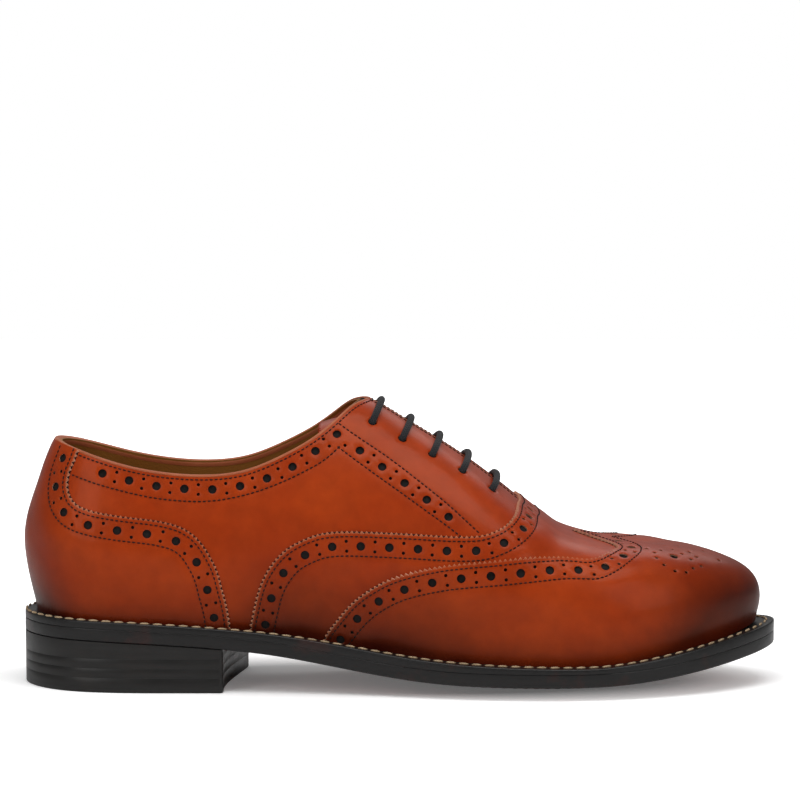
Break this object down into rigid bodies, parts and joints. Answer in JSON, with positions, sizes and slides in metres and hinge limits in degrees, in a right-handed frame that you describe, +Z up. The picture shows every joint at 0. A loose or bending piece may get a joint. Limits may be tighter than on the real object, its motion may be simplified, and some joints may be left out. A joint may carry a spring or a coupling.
{
  "type": "leather oxford shoe",
  "caption": "Welted leather oxford shoe for the right foot, with a winged punched toe cap, closed lacing, a swinging tongue and a stacked heel.",
  "frame": {"origin": "middle of the bounding box, on the surface the shoe stands on", "axes": "+X from heel to toe, +Y to the inner side of the foot, +Z up"},
  "size_m": [0.3053, 0.1047, 0.1162],
  "materials": {
    "aglet_plastic": "shiny black film tip",
    "black_edge_leather": "black dyed and waxed leather edge",
    "black_rubber": "black rubber, fine grain",
    "cork": "ground cork filler",
    "insole_leather": "undyed vegetable tanned leather",
    "lace_cotton": "waxed round cotton lace, charcoal",
    "lining_leather": "natural tan lining leather, matt",
    "shank_steel": "spring steel strip",
    "sole_leather": "reddish brown sole leather, black waxed edges",
    "stiffening": "bonded cloth and fibre board",
    "tan_leather": "burnished cognac calf leather, glossy"
  },
  "bodies": {
    "shoe": {"aglet_end": "aglet_plastic", "aglet_start": "aglet_plastic", "cork_filler": "cork", "heel_counter": "tan_leather", "heel_lift_1": "black_edge_leather", "heel_lift_2": "black_edge_leather", "heel_lift_3": "black_edge_leather", "heel_lining": "lining_leather", "heel_seat": "insole_leather", "heel_stiffener": "stiffening", "heel_top_piece": "black_rubber", "insole": "insole_leather", "insole_rib": "insole_leather", "lace": "lace_cotton", "outsole": "sole_leather", "quarter_inner_side": "tan_leather", "quarter_lining_inner_side": "lining_leather", "quarter_lining_outer_side": "lining_leather", "quarter_outer_side": "tan_leather", "reinforcement_inner_side": "stiffening", "reinforcement_outer_side": "stiffening", "shank": "shank_steel", "sock": "lining_leather", "toe_cap": "tan_leather", "toe_puff": "stiffening", "tongue_root": "tan_leather", "vamp": "tan_leather", "vamp_interlining": "stiffening", "vamp_lining": "lining_leather", "welt": "black_edge_leather"},
    "tongue": {"tongue": "tan_leather", "tongue_lining": "lining_leather"}
  },
  "joints": [
    {"name": "tongue_hinge", "type": "hinge", "parent": "shoe", "child": "tongue", "pos_m": [0.0452, 0, 0.0692], "axis": [0, -1, 0], "range_deg": [0, 25]}
  ]
}
